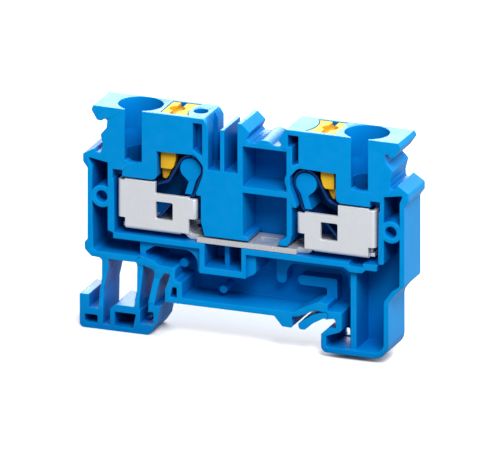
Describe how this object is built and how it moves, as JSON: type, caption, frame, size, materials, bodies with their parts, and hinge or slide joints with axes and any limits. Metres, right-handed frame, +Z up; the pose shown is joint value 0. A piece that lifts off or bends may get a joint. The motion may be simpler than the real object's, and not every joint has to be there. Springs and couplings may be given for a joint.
{
  "type": "din rail terminal block",
  "caption": "Push-in feed-through terminal block for a 35 mm top-hat rail, open on one face, with two sprung wire clamps, release buttons and a sprung rail foot.",
  "frame": {"origin": "on the rail seat (the housing's underside), midway between the two edges of the rail and midway through the block's thickness", "axes": "+X along the block's length, across the rail, towards the fixed rail hook; +Y along the rail, towards the closed back of the housing; +Z up, away from the rail"},
  "size_m": [0.0635, 0.0094, 0.0425],
  "materials": {
    "blue_polyamide": "moulded, fine satin",
    "cage_steel": "nickel-plated sheet, satin",
    "tinned_copper": "tin-plated, bright satin",
    "spring_steel": "stainless spring strip",
    "amber_polyamide": "moulded, satin"
  },
  "bodies": {
    "terminal": {"housing": "blue_polyamide", "outer_foot_leg": "blue_polyamide", "middle_foot_leg": "blue_polyamide", "inner_foot_leg": "blue_polyamide", "current_bar": "tinned_copper", "left_clamp_cage": "cage_steel", "right_clamp_cage": "cage_steel", "left_clamp_spring": "spring_steel", "right_clamp_spring": "spring_steel"},
    "foot": {"rail_foot": "blue_polyamide"},
    "finger": {"rail_finger": "blue_polyamide"},
    "left_button": {"left_release_button": "amber_polyamide"},
    "right_button": {"right_release_button": "amber_polyamide"},
    "left_leg": {"left_clamping_leg": "spring_steel"},
    "right_leg": {"right_clamping_leg": "spring_steel"}
  },
  "joints": [
    {"name": "foot_release", "type": "slide", "parent": "terminal", "child": "foot", "axis": [-1, 0, 0], "range_m": [0, 0.0015], "stiffness_N_per_m": 8000, "deforming": ["outer_foot_leg", "middle_foot_leg", "inner_foot_leg"]},
    {"name": "rail_finger_flex", "type": "hinge", "parent": "terminal", "child": "finger", "pos_m": [0.01545, 0, 0.0012], "axis": [0, 1, 0], "range_deg": [0, 8]},
    {"name": "left_button_press", "type": "slide", "parent": "terminal", "child": "left_button", "axis": [0, 0, -1], "range_m": [0, 0.00275]},
    {"name": "right_button_press", "type": "slide", "parent": "terminal", "child": "right_button", "axis": [0, 0, -1], "range_m": [0, 0.00275]},
    {"name": "left_leg_swing", "type": "hinge", "parent": "terminal", "child": "left_leg", "pos_m": [-0.01077, 0, 0.02554], "axis": [0, -1, 0], "range_deg": [0, 25.5]},
    {"name": "right_leg_swing", "type": "hinge", "parent": "terminal", "child": "right_leg", "pos_m": [0.01147, 0, 0.02554], "axis": [0, 1, 0], "range_deg": [0, 25.5]}
  ],
  "couplings": [
    {"joint": "left_leg_swing", "follows": "left_button_press", "rad_per_m": 160},
    {"joint": "right_leg_swing", "follows": "right_button_press", "rad_per_m": 160}
  ]
}
